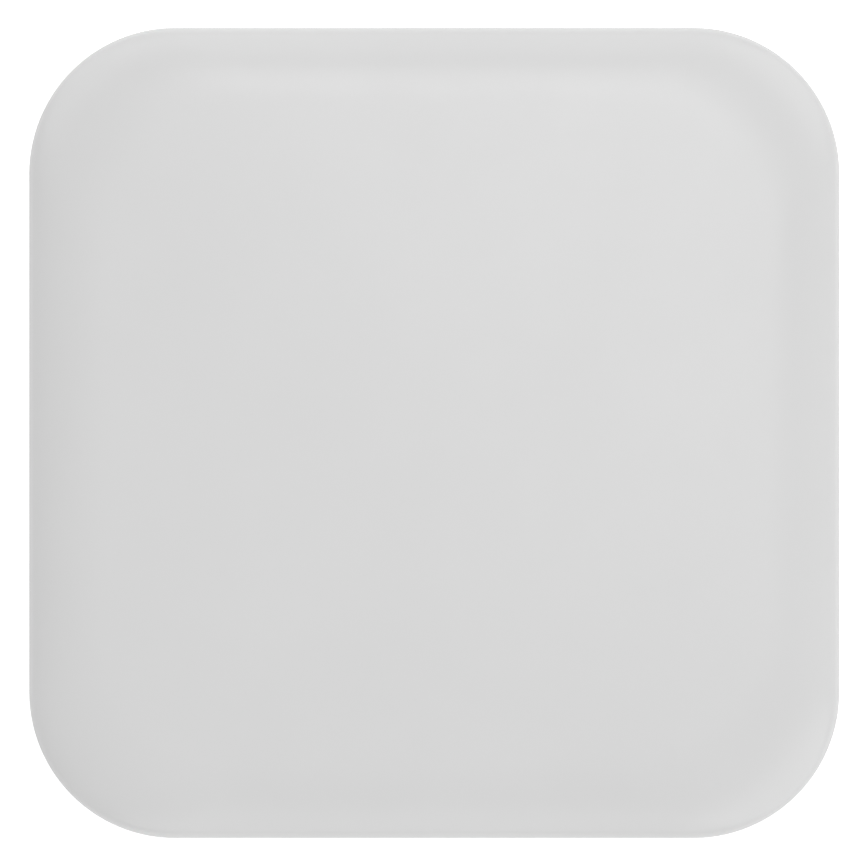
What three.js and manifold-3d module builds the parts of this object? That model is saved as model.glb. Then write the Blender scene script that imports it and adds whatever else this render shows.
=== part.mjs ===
// Wireless charging pad: a square Qi transmitter under a pillowed lid, built as separate pieces.
// Units are millimetres. +Z is up, +Y is the rear side with the USB-C port, and the origin is the
// centre of the footprint on the surface that the pad stands on.

import * as THREE from "three";
import { mergeVertices } from "three/addons/utils/BufferGeometryUtils.js";
import Module from "manifold-3d";

const wasm = await Module();
wasm.setup();

// ---------------------------------------------------------------- driving dimensions

// The outer form: a rounded square whose edge rolls over into a gently crowned top.
const HALF = 50; // half the side of the footprint
const CORNER = 18; // corner radius of the footprint, 0.18 of the side
const ROLL_WIDTH = 9; // how far the rolled edge reaches in over the top
const ROLL_HEIGHT = 3.3;
const CROWN_HEIGHT = 0.6; // rise of the top from the edge to the middle
const CROWN_POWER = 4;
const TUCK_WIDTH = 3.5; // ellipse of the base's side, which tucks in towards the feet
const TUCK_HEIGHT = 5.6;
const EDGE_Z = 6; // height of the widest line, where lid and base meet
const PARTING_GAP = 0.2;
const LID_Z = EDGE_Z + PARTING_GAP / 2;
const BASE_TOP_Z = EDGE_Z - PARTING_GAP / 2;
const SEAT_GAP = 0.05; // clearance between a piece and what it rests on

// The shells.
const WALL = 1.8;
const BASE_UNDERSIDE_Z = 0.8;
const FLOOR_Z = 2; // inner face of the base
const CEILING_Z = 8.1; // inner face of the lid
const LID_CAVITY = { rollWidth: 5.5, rollHeight: 1.8 };
const TONGUE = { outerHalf: 49.05, bottomZ: 5.3 };
const REBATE = { half: 49.15, bottomZ: 5.2 };
const NOTCH = { depth: 3, portHalf: 6, lightHalf: 3.4, gap: 0.1 }; // where the tongue is left out

// Feet, and the screws that they hide.
const CORNER_SCREW_XY = 36.5;
const FOOT = { radius: 6, height: 1.35, chamfer: 0.35 };
const FOOT_RECESS = { radius: 6.15, depth: 0.6 };
const COVER_SCREW = { headRadius: 2.1, headHeight: 1.4, shankRadius: 1, length: 4.2 };
const SCREW_SEAT_Z = 3.15; // shoulder in the base that a cover screw's head bears on
const BASE_BOSS = { radius: 3.7, topZ: 4.65, boreRadius: 2.35, holeRadius: 1.2 };
const LID_BOSS = { radius: 2.8, bottomZ: 4.7, pilotRadius: 1.1, pilotTopZ: 7.6 };

// The circuit board.
const BOARD = { half: 46, cornerSum: 65.5, bottomZ: 3.2, topZ: 4.2, windowRadius: 29, holeRadius: 1 };
const BOARD_SCREW_AT = { x: 42, y: 18 };
const BOARD_BOSS = { radius: 2.3, topZ: 3.15, pilotRadius: 0.9, pilotBottomZ: 1.3 };
const BOARD_SCREW = { headRadius: 1.8, headHeight: 1.2, shankRadius: 0.8, length: 2.7 };

// The USB-C receptacle, sunk into a notch at the board's rear edge.
const USB = {
  width: 8.94,
  height: 3.26,
  metal: 0.3,
  frontY: 48.6,
  length: 7.4,
  centreZ: 3.7,
  clearance: 0.2,
  notchHalf: 4.7,
  notchY: 41,
};
const USB_WING = { reach: 6, back: 6.6, front: 3.2 };
const USB_CORE = {
  gap: 0.05,
  backGap: 0.1,
  blockEnd: 1.7,
  tongueHalf: 3.34,
  tongueThickness: 0.7,
  setback: 0.6,
};

// The status light in the front wall.
const LIGHT = { width: 3.2, height: 0.9, centreZ: 4.5, clearance: 0.1 };
const LIGHT_FLANGE = { width: 5, height: 1.4, depth: 0.75 };

// The coil module, a stack under the lid.
const WIRE_RADIUS = 0.5;
const COIL = { innerRadius: 10.9, pitch: 1.12, turns: 10, centreZ: 7.2 };
const ADHESIVE = { innerRadius: 10.4, outerRadius: 22.6, bottomZ: 7.75, topZ: 8.05 };
const FERRITE = { radius: 25.9, bottomZ: 5.35, topZ: 6.55 };
const FERRITE_SLOTS = { coilWidth: 1.8, coilInner: 5.8, sensorWidth: 1.4, sensorInner: 2.6 };
const CARRIER = { radius: 28, floorZ: 4.5, innerFloorZ: 5.3, rimInner: 26.2, rimTopZ: 7.3, hole: 4 };
const CARRIER_GAPS = { coilWidth: 11, coilTurn: -4, sensorWidth: 4, inner: 23.2 };
const FOAM = { radius: 17, bottomZ: 2.6, topZ: 4.45 };
const COIL_EXIT = 135; // degrees, the direction in which the coil's leads leave
const SENSOR_EXIT = 60; // degrees, the direction in which the thermistor's lead leaves
const SENSOR = { z: 7.35, leadRadius: 0.4 };

// Heat path from the board to the base.
const SPREADER = { half: 38, cornerSum: 62, bottomZ: 2.05, topZ: 2.55 };
const SPREADER_PIN = { radius: 1, holeRadius: 1.2, topZ: 2.85, x: 30, y: -20 };
const THERMAL_PAD = { width: 14, depth: 4.5, bottomZ: 2.6, topZ: 3.15, xy: 28.8 };

const ARC_STEPS = 9; // segments in each quarter of a rounded square
const ROUND = 40; // segments round a large cylinder
const SMALL_ROUND = 20; // segments round a screw, hole or foot
const OVERLAP = 0.5; // how far joined solids run into each other
const OVERCUT = 1; // how far a cutter runs past what it cuts

// ---------------------------------------------------------------- materials

const finish = (color, roughness, metalness = 0) =>
  new THREE.MeshStandardMaterial({ color, roughness, metalness });

const MATERIALS = {
  shell: finish(0xdcdcdc, 0.35),
  rubber: finish(0x8f9193, 0.9),
  diffuser: finish(0xf2f4f5, 0.3),
  board: finish(0x1d4a33, 0.5),
  chip: finish(0x1b1b1d, 0.6),
  capacitor: finish(0xa58a68, 0.55),
  steel: finish(0xb9bcc0, 0.3, 1),
  copper: finish(0xb4683c, 0.4, 1),
  ferrite: finish(0x3a3b3d, 0.7),
  carrier: finish(0x2c2d2f, 0.6),
  tape: finish(0xe3dcc6, 0.8),
  foam: finish(0x26272a, 0.95),
  aluminium: finish(0xc4c7ca, 0.35, 1),
  silicone: finish(0x9fb4c4, 0.8),
  cable: finish(0x232325, 0.6),
};

// ---------------------------------------------------------------- solids and booleans

/** A closed geometry as a manifold-3d solid. */
function toSolid(geometry) {
  const bare = new THREE.BufferGeometry();
  bare.setAttribute("position", geometry.getAttribute("position"));
  bare.setIndex(geometry.getIndex());
  const merged = mergeVertices(bare, 1e-4);
  const vertProperties = merged.getAttribute("position").array;
  const triVerts = new Uint32Array(merged.getIndex().array);
  return new wasm.Manifold(new wasm.Mesh({ numProp: 3, vertProperties, triVerts }));
}

/** A manifold-3d solid as a geometry with flat faces. */
function toGeometry(solid) {
  const mesh = solid.getMesh();
  const geometry = new THREE.BufferGeometry();
  geometry.setAttribute("position", new THREE.BufferAttribute(mesh.vertProperties, 3));
  geometry.setIndex(new THREE.BufferAttribute(mesh.triVerts, 1));
  const faceted = geometry.toNonIndexed();
  faceted.computeVertexNormals();
  return faceted;
}

/** The body joined with every piece of `added`, then cut by every piece of `removed`. */
function combine(body, added = [], removed = []) {
  const joined = added.reduce((solid, piece) => solid.add(toSolid(piece)), toSolid(body));
  return toGeometry(removed.reduce((solid, piece) => solid.subtract(toSolid(piece)), joined));
}

// ---------------------------------------------------------------- shape helpers

const radians = (degrees) => THREE.MathUtils.degToRad(degrees);

/** The point at a radius and a direction in degrees from the pad's centre, at height z. */
const polar = (radius, degrees, z) =>
  new THREE.Vector3(radius * Math.cos(radians(degrees)), radius * Math.sin(radians(degrees)), z);

/** One horizontal ring of a loft: a rounded square, anticlockwise seen from above. */
function squareRing(half, radius, z) {
  const ring = [];
  for (let corner = 0; corner < 4; corner++) {
    const start = (corner * Math.PI) / 2;
    const signX = corner === 0 || corner === 3 ? 1 : -1;
    const signY = corner < 2 ? 1 : -1;
    for (let step = 0; step <= ARC_STEPS; step++) {
      const angle = start + (step / ARC_STEPS) * (Math.PI / 2);
      const x = signX * (half - radius) + radius * Math.cos(angle);
      const y = signY * (half - radius) + radius * Math.sin(angle);
      ring.push(new THREE.Vector3(x, y, z));
    }
  }
  return ring;
}

/** A closed skin through rings of equal length, from the lowest to the highest, with flat ends. */
function loft(rings) {
  const count = rings[0].length;
  const centre = (ring) => new THREE.Vector3(0, 0, ring[0].z);
  const points = [...rings.flat(), centre(rings[0]), centre(rings.at(-1))];
  const low = points.length - 2;
  const high = points.length - 1;
  const top = (rings.length - 1) * count;
  const index = [];
  for (let j = 0; j < count; j++) {
    const next = (j + 1) % count;
    for (let i = 0; i < top; i += count) {
      index.push(i + j, i + next, i + count + next, i + j, i + count + next, i + count + j);
    }
    index.push(low, next, j, high, top + j, top + next);
  }
  return new THREE.BufferGeometry().setFromPoints(points).setIndex(index);
}

/** A prism that stands on z0 and reaches z1. */
function prism(shape, z0, z1, curveSegments = ROUND / 4) {
  const options = { depth: z1 - z0, bevelEnabled: false, curveSegments };
  return new THREE.ExtrudeGeometry(shape, options).translate(0, 0, z0);
}

/** A prism whose section lies in the XZ plane, from y0 to y1, its section's origin at height z. */
function prismAlongY(shape, y0, y1, z, curveSegments = 6) {
  const options = { depth: y1 - y0, bevelEnabled: false, curveSegments };
  const geometry = new THREE.ExtrudeGeometry(shape, options).rotateX(Math.PI / 2);
  return geometry.translate(0, y1, z);
}

/** An upright cylinder from z0 to z1. */
function cylinder(x, y, radius, z0, z1, sides = SMALL_ROUND) {
  const geometry = new THREE.CylinderGeometry(radius, radius, z1 - z0, sides);
  return geometry.rotateX(Math.PI / 2).translate(x, y, (z0 + z1) / 2);
}

/** A box given by its lowest and highest corners. */
function box([x0, y0, z0], [x1, y1, z1]) {
  const geometry = new THREE.BoxGeometry(x1 - x0, y1 - y0, z1 - z0);
  return geometry.translate((x0 + x1) / 2, (y0 + y1) / 2, (z0 + z1) / 2);
}

/** A solid of revolution about Z. The profile's points are [radius, z], from the bottom up. */
function turned(profile, sides = SMALL_ROUND) {
  const points = profile.map(([radius, z]) => new THREE.Vector2(radius, z));
  return new THREE.LatheGeometry(points, sides).rotateX(Math.PI / 2);
}

/** A closed tube of round section through the points. */
function tube(points, radius, sides, steps) {
  const path = new THREE.CatmullRomCurve3(points, false, "centripetal");
  path.arcLengthDivisions = 8 * steps;
  const section = new THREE.Shape();
  for (let side = 0; side < sides; side++) {
    const angle = (side / sides) * 2 * Math.PI;
    const [x, y] = [radius * Math.cos(angle), radius * Math.sin(angle)];
    if (side) section.lineTo(x, y);
    else section.moveTo(x, y);
  }
  section.closePath();
  return new THREE.ExtrudeGeometry(section, { steps, extrudePath: path, bevelEnabled: false });
}

/** A slot with round ends, centred on its own origin. */
function stadium(width, height) {
  const radius = height / 2;
  const reach = width / 2 - radius;
  const shape = new THREE.Shape();
  shape.absarc(reach, 0, radius, -Math.PI / 2, Math.PI / 2);
  shape.absarc(-reach, 0, radius, Math.PI / 2, (3 * Math.PI) / 2);
  shape.closePath();
  return shape;
}

/** A ring-shaped section between two radii. */
function annulus(innerRadius, outerRadius) {
  const shape = new THREE.Shape().absarc(0, 0, outerRadius, 0, 2 * Math.PI);
  shape.holes.push(new THREE.Path().absarc(0, 0, innerRadius, 0, 2 * Math.PI));
  return shape;
}

/** A square with its corners cut off at 45 degrees, where |x| + |y| reaches `cornerSum`. */
function cutSquare(half, cornerSum) {
  const short = cornerSum - half;
  const corners = [
    [half, -short], [half, short], [short, half], [-short, half],
    [-half, short], [-half, -short], [-short, -half], [short, -half],
  ];
  return new THREE.Shape(corners.map(([x, y]) => new THREE.Vector2(x, y)));
}

/** The four points [x, y, name] at plus and minus x and y, named for their corner of the pad. */
function corners(x, y) {
  return [
    [-x, -y, "front_left"],
    [x, -y, "front_right"],
    [-x, y, "rear_left"],
    [x, y, "rear_right"],
  ];
}

// ---------------------------------------------------------------- the outer form

/** Height of the crown at a distance in from the footprint's edge. */
const crown = (inset) => CROWN_HEIGHT * (1 - (1 - inset / HALF) ** CROWN_POWER);

/** One ring of the lid's outside at a distance in from the edge. Rings grow rounder inwards. */
function lidRing(inset, z) {
  const half = HALF - inset;
  const cornerShare = CORNER / HALF;
  const roundness = cornerShare + (1 - cornerShare) * (inset / HALF);
  return squareRing(half, half * roundness, z + crown(inset));
}

/** The rings of the lid's outside: up the rolled edge, then in over the crown. */
function lidRings() {
  const rings = [];
  const rollSteps = 8;
  for (let step = 0; step <= rollSteps; step++) {
    const angle = (step / rollSteps) * (Math.PI / 2);
    rings.push(lidRing(ROLL_WIDTH * (1 - Math.cos(angle)), LID_Z + ROLL_HEIGHT * Math.sin(angle)));
  }
  for (const inset of [12, 16, 22, 29, 36, 43]) {
    rings.push(lidRing(inset, LID_Z + ROLL_HEIGHT));
  }
  return rings;
}

/** How far the base's side is in from the footprint's edge at a height. */
function tuck(z) {
  const share = Math.min(1, (EDGE_Z - z) / TUCK_HEIGHT);
  return TUCK_WIDTH * (1 - Math.sqrt(1 - share ** 2));
}

/** Rings of the base's side at some heights, moved in by a wall's thickness. */
const baseRings = (heights, wall = 0) =>
  heights.map((z) => squareRing(HALF - tuck(z) - wall, CORNER - tuck(z) - wall, z));

// ---------------------------------------------------------------- shells, feet and screws

/** The lid's inside: a straight wall that rolls over into a flat ceiling. */
function lidCavity() {
  const half = HALF - WALL;
  const radius = CORNER - WALL;
  const springZ = CEILING_Z - LID_CAVITY.rollHeight;
  const rings = [squareRing(half, radius, TONGUE.bottomZ - OVERCUT)];
  for (const degrees of [0, 30, 60, 90]) {
    const inset = LID_CAVITY.rollWidth * (1 - Math.cos(radians(degrees)));
    const z = springZ + LID_CAVITY.rollHeight * Math.sin(radians(degrees));
    rings.push(squareRing(half - inset, radius, z));
  }
  return loft(rings);
}

function topCover() {
  const inward = HALF - TONGUE.outerHalf;
  const tongueRing = (z) => squareRing(TONGUE.outerHalf, CORNER - inward, z);
  const tongue = loft([tongueRing(TONGUE.bottomZ), tongueRing(LID_Z + OVERLAP)]);
  const hollow = combine(loft(lidRings()), [tongue], [lidCavity()]);

  const bosses = [];
  const pilots = [];
  for (const [x, y] of corners(CORNER_SCREW_XY, CORNER_SCREW_XY)) {
    bosses.push(cylinder(x, y, LID_BOSS.radius, LID_BOSS.bottomZ, CEILING_Z + OVERLAP));
    pilots.push(cylinder(x, y, LID_BOSS.pilotRadius, LID_BOSS.bottomZ - OVERCUT, LID_BOSS.pilotTopZ));
  }
  const notchTop = LID_Z - NOTCH.gap;
  const notchFoot = TONGUE.bottomZ - OVERCUT;
  const { depth, portHalf, lightHalf } = NOTCH;
  const portNotch = box([-portHalf, HALF - depth, notchFoot], [portHalf, HALF, notchTop]);
  const lightNotch = box([-lightHalf, -HALF, notchFoot], [lightHalf, depth - HALF, notchTop]);
  return combine(hollow, bosses, [...pilots, portNotch, lightNotch]);
}

function baseCover() {
  const outside = loft(baseRings([BASE_UNDERSIDE_Z, 1.1, 1.6, 2.4, 3.6, 4.8, BASE_TOP_Z]));
  const cavity = loft(baseRings([FLOOR_Z, 2.8, 3.8, BASE_TOP_Z + OVERCUT], WALL));
  const rebateRing = (z) => squareRing(REBATE.half, CORNER - (HALF - REBATE.half), z);
  const rebate = loft([rebateRing(REBATE.bottomZ), rebateRing(BASE_TOP_Z + OVERCUT)]);
  const tub = combine(outside, [], [cavity, rebate]);

  const added = [];
  const removed = [];
  const below = BASE_UNDERSIDE_Z - OVERCUT;
  for (const [x, y] of corners(CORNER_SCREW_XY, CORNER_SCREW_XY)) {
    added.push(cylinder(x, y, BASE_BOSS.radius, FLOOR_Z - OVERLAP, BASE_BOSS.topZ));
    removed.push(
      cylinder(x, y, FOOT_RECESS.radius, below, BASE_UNDERSIDE_Z + FOOT_RECESS.depth, ROUND),
      cylinder(x, y, BASE_BOSS.boreRadius, below, SCREW_SEAT_Z),
      cylinder(x, y, BASE_BOSS.holeRadius, below, BASE_BOSS.topZ + OVERCUT),
    );
  }
  for (const [x, y] of corners(BOARD_SCREW_AT.x, BOARD_SCREW_AT.y)) {
    added.push(cylinder(x, y, BOARD_BOSS.radius, FLOOR_Z - OVERLAP, BOARD_BOSS.topZ));
    removed.push(cylinder(x, y, BOARD_BOSS.pilotRadius, BOARD_BOSS.pilotBottomZ, BOARD_BOSS.topZ + OVERCUT));
  }
  for (const side of [-1, 1]) {
    const { radius, topZ, x, y } = SPREADER_PIN;
    added.push(cylinder(side * x, y, radius, FLOOR_Z - OVERLAP, topZ));
  }
  const port = stadium(USB.width + 2 * USB.clearance, USB.height + 2 * USB.clearance);
  const slot = stadium(LIGHT.width + 2 * LIGHT.clearance, LIGHT.height + 2 * LIGHT.clearance);
  removed.push(
    prismAlongY(port, HALF - 2 * WALL, HALF + OVERCUT, USB.centreZ),
    prismAlongY(slot, -HALF - OVERCUT, 2 * WALL - HALF, LIGHT.centreZ),
  );
  return combine(tub, added, removed);
}

/** A round rubber foot that stands on its own origin. */
function foot() {
  const { radius, height, chamfer } = FOOT;
  const profile = [[0, 0], [radius - chamfer, 0], [radius, chamfer], [radius, height], [0, height]];
  return turned(profile, 28);
}

/** A pan-head screw with a cross recess, its shank up and its head's seat at the origin. */
function screw({ headRadius, headHeight, shankRadius, length }) {
  const body = turned([
    [0, -headHeight],
    [headRadius * 0.72, -headHeight],
    [headRadius, -headHeight * 0.6],
    [headRadius, 0],
    [shankRadius, 0],
    [shankRadius, length - shankRadius],
    [shankRadius * 0.3, length],
    [0, length],
  ]);
  const reach = headRadius * 0.5;
  const slit = headRadius * 0.12;
  const depth = -headHeight * 0.45;
  const above = -headHeight - OVERCUT;
  const recess = combine(box([-reach, -slit, above], [reach, slit, depth]), [
    box([-slit, -reach, above], [slit, reach, depth]),
  ]);
  return combine(body, [], [recess]);
}

/** The frosted bar that carries the status light through the front wall, with a flange inside. */
function lightPipe() {
  const outerY = tuck(LIGHT.centreZ) - HALF + SEAT_GAP;
  const flangeFootZ = LIGHT.centreZ - LIGHT_FLANGE.height / 2;
  const wallY = tuck(flangeFootZ) - HALF + WALL + SEAT_GAP;
  const bar = prismAlongY(stadium(LIGHT.width, LIGHT.height), outerY, wallY + OVERLAP, LIGHT.centreZ);
  const flange = stadium(LIGHT_FLANGE.width, LIGHT_FLANGE.height);
  return combine(bar, [prismAlongY(flange, wallY, wallY + LIGHT_FLANGE.depth, LIGHT.centreZ)]);
}

// ---------------------------------------------------------------- the coil module

/** The wire's line: in along a slot under the coil, up inside it, ten turns outwards, and off. */
function coilLine() {
  const exit = COIL_EXIT;
  const points = [
    polar(36.5, exit + 2, 4.8),
    polar(33, exit + 1.5, 4.85),
    polar(30.5, exit + 0.8, 5.3),
    polar(28.6, exit, 5.87),
    polar(26, exit, 5.95),
    polar(13, exit, 5.95),
    polar(10.6, exit, 5.97),
    polar(8.9, exit, 6.45),
    polar(7.5, exit + 0.5, 7.15),
    polar(6.8, exit + 10, 7.22),
    polar(7.2, exit + 25, 7.2),
    polar(8.4, exit + 44, 7.2),
    polar(9.7, exit + 66, 7.2),
  ];
  const stepsPerTurn = 16;
  const joinStep = 4; // the step of the first turn that the inner lead runs into
  for (let step = joinStep; step <= COIL.turns * stepsPerTurn - 2; step++) {
    const turns = step / stepsPerTurn;
    const easing = 0.5 * 0.4 ** (step - joinStep);
    const radius = COIL.innerRadius + COIL.pitch * turns - easing;
    points.push(polar(radius, exit + 360 * turns, COIL.centreZ));
  }
  points.push(
    polar(23.6, exit - 23, 7.18),
    polar(25.8, exit - 13, 7.12),
    polar(28.3, exit - 8, 6.3),
    polar(30.6, exit - 6.5, 5.3),
    polar(33, exit - 6, 4.85),
    polar(36.5, exit - 6, 4.8),
  );
  return points;
}

const transmitCoil = () => tube(coilLine(), WIRE_RADIUS, 6, 260);

/** A radial bar to cut a slot with, from one radius to another in a direction in degrees. */
function radialBar(width, inner, outer, z0, z1, degrees) {
  return box([inner, -width / 2, z0], [outer, width / 2, z1]).rotateZ(radians(degrees));
}

function ferritePlate() {
  const { radius, bottomZ, topZ } = FERRITE;
  const { coilWidth, coilInner, sensorWidth, sensorInner } = FERRITE_SLOTS;
  const [outer, low, high] = [radius + OVERCUT, bottomZ - OVERCUT, topZ + OVERCUT];
  const disc = cylinder(0, 0, radius, bottomZ, topZ, 2 * ROUND);
  return combine(disc, [], [
    radialBar(coilWidth, coilInner, outer, low, high, COIL_EXIT),
    radialBar(sensorWidth, sensorInner, outer, low, high, SENSOR_EXIT),
  ]);
}

function coilCarrier() {
  const { radius, floorZ, innerFloorZ, rimInner, rimTopZ, hole } = CARRIER;
  const { coilWidth, coilTurn, sensorWidth, inner } = CARRIER_GAPS;
  const [outer, high] = [radius + OVERCUT, rimTopZ + OVERCUT];
  const dish = cylinder(0, 0, radius, floorZ, rimTopZ, 2 * ROUND);
  return combine(dish, [], [
    cylinder(0, 0, rimInner, innerFloorZ, high, 2 * ROUND),
    cylinder(0, 0, hole, floorZ - OVERCUT, innerFloorZ + OVERCUT),
    radialBar(coilWidth, inner, outer, innerFloorZ, high, COIL_EXIT + coilTurn),
    radialBar(sensorWidth, inner, outer, innerFloorZ, high, SENSOR_EXIT),
  ]);
}

/** The thermistor's bead, which feels the lid's temperature in the middle of the coil. */
function thermistor() {
  return turned([[0, -0.7], [0.7, -0.6], [1.1, -0.15], [1.1, 0.25], [0.7, 0.6], [0, 0.7]], 16);
}

/** The thermistor's insulated twin lead, down a slot in the ferrite and out to the board. */
function thermistorLead() {
  const line = [
    polar(1.15, SENSOR_EXIT, 7.2),
    polar(2.6, SENSOR_EXIT, 7.1),
    polar(4.6, SENSOR_EXIT, 6.4),
    polar(7, SENSOR_EXIT, 5.9),
    polar(24, SENSOR_EXIT, 5.9),
    polar(27.5, SENSOR_EXIT, 5.8),
    polar(30.5, SENSOR_EXIT, 4.9),
    polar(33.5, SENSOR_EXIT, 4.7),
  ];
  return tube(line, SENSOR.leadRadius, 8, 26);
}

// ---------------------------------------------------------------- board and electronics

function mainBoard() {
  const { half, cornerSum, bottomZ, topZ, windowRadius, holeRadius } = BOARD;
  const plate = prism(cutSquare(half, cornerSum), bottomZ, topZ);
  const [low, high] = [bottomZ - OVERCUT, topZ + OVERCUT];
  const removed = [cylinder(0, 0, windowRadius, low, high, 2 * ROUND)];
  for (const [x, y] of corners(BOARD_SCREW_AT.x, BOARD_SCREW_AT.y)) {
    removed.push(cylinder(x, y, holeRadius, low, high));
  }
  const { notchHalf, notchY } = USB;
  removed.push(box([-notchHalf, notchY, low], [notchHalf, half + OVERCUT, high]));
  return combine(plate, [], removed);
}

/** The receptacle's steel shell, with the two wings that solder it to the board. */
function usbShell() {
  const { width, height, metal, frontY, length, centreZ } = USB;
  const { reach, back, front } = USB_WING;
  const wingZ = BOARD.topZ + SEAT_GAP;
  const sleeve = stadium(width, height);
  sleeve.holes.push(stadium(width - 2 * metal, height - 2 * metal));
  const wings = [-1, 1].map((side) => {
    const [near, far] = [side * (width / 2 - metal / 2), side * reach];
    const low = [Math.min(near, far), frontY - back, wingZ];
    return box(low, [Math.max(near, far), frontY - front, wingZ + metal]);
  });
  return combine(prismAlongY(sleeve, frontY - length, frontY, centreZ), wings);
}

/** The receptacle's moulded core: a block at the back and the tongue that the plug slides over. */
function usbCore() {
  const { width, height, metal, frontY, length, centreZ } = USB;
  const { gap, backGap, blockEnd, tongueHalf, tongueThickness, setback } = USB_CORE;
  const inside = 2 * (metal + gap);
  const block = stadium(width - inside, height - inside);
  const backY = frontY - length;
  const core = prismAlongY(block, backY + backGap, backY + blockEnd, centreZ);
  const low = [-tongueHalf, backY + blockEnd - OVERLAP, centreZ - tongueThickness / 2];
  const tongue = box(low, [tongueHalf, frontY - setback, centreZ + tongueThickness / 2]);
  return combine(core, [tongue]);
}

/** A moulded or ceramic component of a given size that stands on its own origin. */
function component(width, depth, height) {
  return new THREE.BoxGeometry(width, depth, height).translate(0, 0, height / 2);
}

/** A shielded inductor: a ferrite block with its corners cut. */
function powerInductor() {
  return prism(cutSquare(3, 4.9), 0, 2.8);
}

// ---------------------------------------------------------------- assembly

const pad = new THREE.Group();

/** Adds a named piece to a group and returns it, so that it can be placed. */
function add(group, name, geometry, material) {
  const mesh = new THREE.Mesh(geometry, MATERIALS[material]);
  mesh.name = name;
  group.add(mesh);
  return mesh;
}

function enclosure() {
  const group = new THREE.Group();
  add(group, "top_cover", topCover(), "shell");
  add(group, "base_cover", baseCover(), "shell");
  add(group, "light_pipe", lightPipe(), "diffuser");
  const footGeometry = foot();
  const screwGeometry = screw(COVER_SCREW);
  for (const [x, y, corner] of corners(CORNER_SCREW_XY, CORNER_SCREW_XY)) {
    add(group, `foot_${corner}`, footGeometry, "rubber").position.set(x, y, 0);
    const fastener = add(group, `cover_screw_${corner}`, screwGeometry, "steel");
    fastener.position.set(x, y, SCREW_SEAT_Z - SEAT_GAP);
  }
  return group;
}

function coilModule() {
  const group = new THREE.Group();
  const ring = annulus(ADHESIVE.innerRadius, ADHESIVE.outerRadius);
  add(group, "coil_adhesive", prism(ring, ADHESIVE.bottomZ, ADHESIVE.topZ), "tape");
  add(group, "transmit_coil", transmitCoil(), "copper");
  add(group, "ferrite_plate", ferritePlate(), "ferrite");
  add(group, "coil_carrier", coilCarrier(), "carrier");
  add(group, "foam_spacer", cylinder(0, 0, FOAM.radius, FOAM.bottomZ, FOAM.topZ, ROUND), "foam");
  add(group, "thermistor", thermistor(), "chip").position.z = SENSOR.z;
  add(group, "thermistor_lead", thermistorLead(), "cable");
  return group;
}

function heatPath() {
  const group = new THREE.Group();
  const plate = prism(cutSquare(SPREADER.half, SPREADER.cornerSum), SPREADER.bottomZ, SPREADER.topZ);
  const pinHoles = [-1, 1].map((side) =>
    cylinder(side * SPREADER_PIN.x, SPREADER_PIN.y, SPREADER_PIN.holeRadius, 0, 2 * SPREADER.topZ),
  );
  add(group, "heat_spreader", combine(plate, [], pinHoles), "aluminium");
  const { width, depth, bottomZ, topZ, xy } = THERMAL_PAD;
  const pad = add(group, "thermal_pad", component(width, depth, topZ - bottomZ), "silicone");
  pad.position.set(-xy, xy, bottomZ);
  pad.rotation.z = Math.PI / 4;
  return group;
}

/** Name, geometry, material and place of each component on the board's top face. */
function boardComponents() {
  const capacitor = component(3.2, 2.5, 2.2);
  const bridge = component(5, 5, 0.9);
  const list = [
    ["controller_chip", component(6, 6, 0.85), "chip", 29, 29],
    ["bridge_chip_left", bridge, "chip", -34.5, 25.5],
    ["bridge_chip_right", bridge, "chip", -25.5, 34.5],
    ["power_inductor", powerInductor(), "ferrite", -11.5, 37],
    ["sense_resistor", component(3.2, 1.6, 0.55), "chip", -18, 38.5],
    ["crystal", component(3.2, 2.5, 0.75), "steel", 22, 35.5],
    ["status_led", component(3, 1, 1), "diffuser", 0, -45.4],
    ["input_capacitor_1", capacitor, "capacitor", 10.5, 38.6],
    ["input_capacitor_2", capacitor, "capacitor", 10.5, 34.9],
  ];
  for (let i = 0; i < 4; i++) {
    list.push([`resonance_capacitor_${i + 1}`, capacitor, "capacitor", -37.5, 10 - 4.2 * i]);
  }
  return list;
}

function electronics() {
  const group = new THREE.Group();
  add(group, "main_board", mainBoard(), "board");
  add(group, "usb_c_shell", usbShell(), "steel");
  add(group, "usb_c_core", usbCore(), "chip");
  for (const [name, geometry, material, x, y] of boardComponents()) {
    add(group, name, geometry, material).position.set(x, y, BOARD.topZ + SEAT_GAP);
  }
  const screwGeometry = screw(BOARD_SCREW);
  for (const [x, y, corner] of corners(BOARD_SCREW_AT.x, BOARD_SCREW_AT.y)) {
    const fastener = add(group, `board_screw_${corner}`, screwGeometry, "steel");
    fastener.position.set(x, y, BOARD.topZ + SEAT_GAP);
    fastener.rotation.x = Math.PI;
  }
  return group;
}

pad.add(enclosure(), coilModule(), heatPath(), electronics());

export default pad;
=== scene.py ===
"""Wireless charging pad: the moulded, visible pieces and the finish of every part, built round the CAD frame.

Lengths are written in millimetres and turned into metres by mm(). +Z is up and +Y is the rear side."""

import math

import bmesh
import bpy
from mathutils import Matrix, Vector


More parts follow.
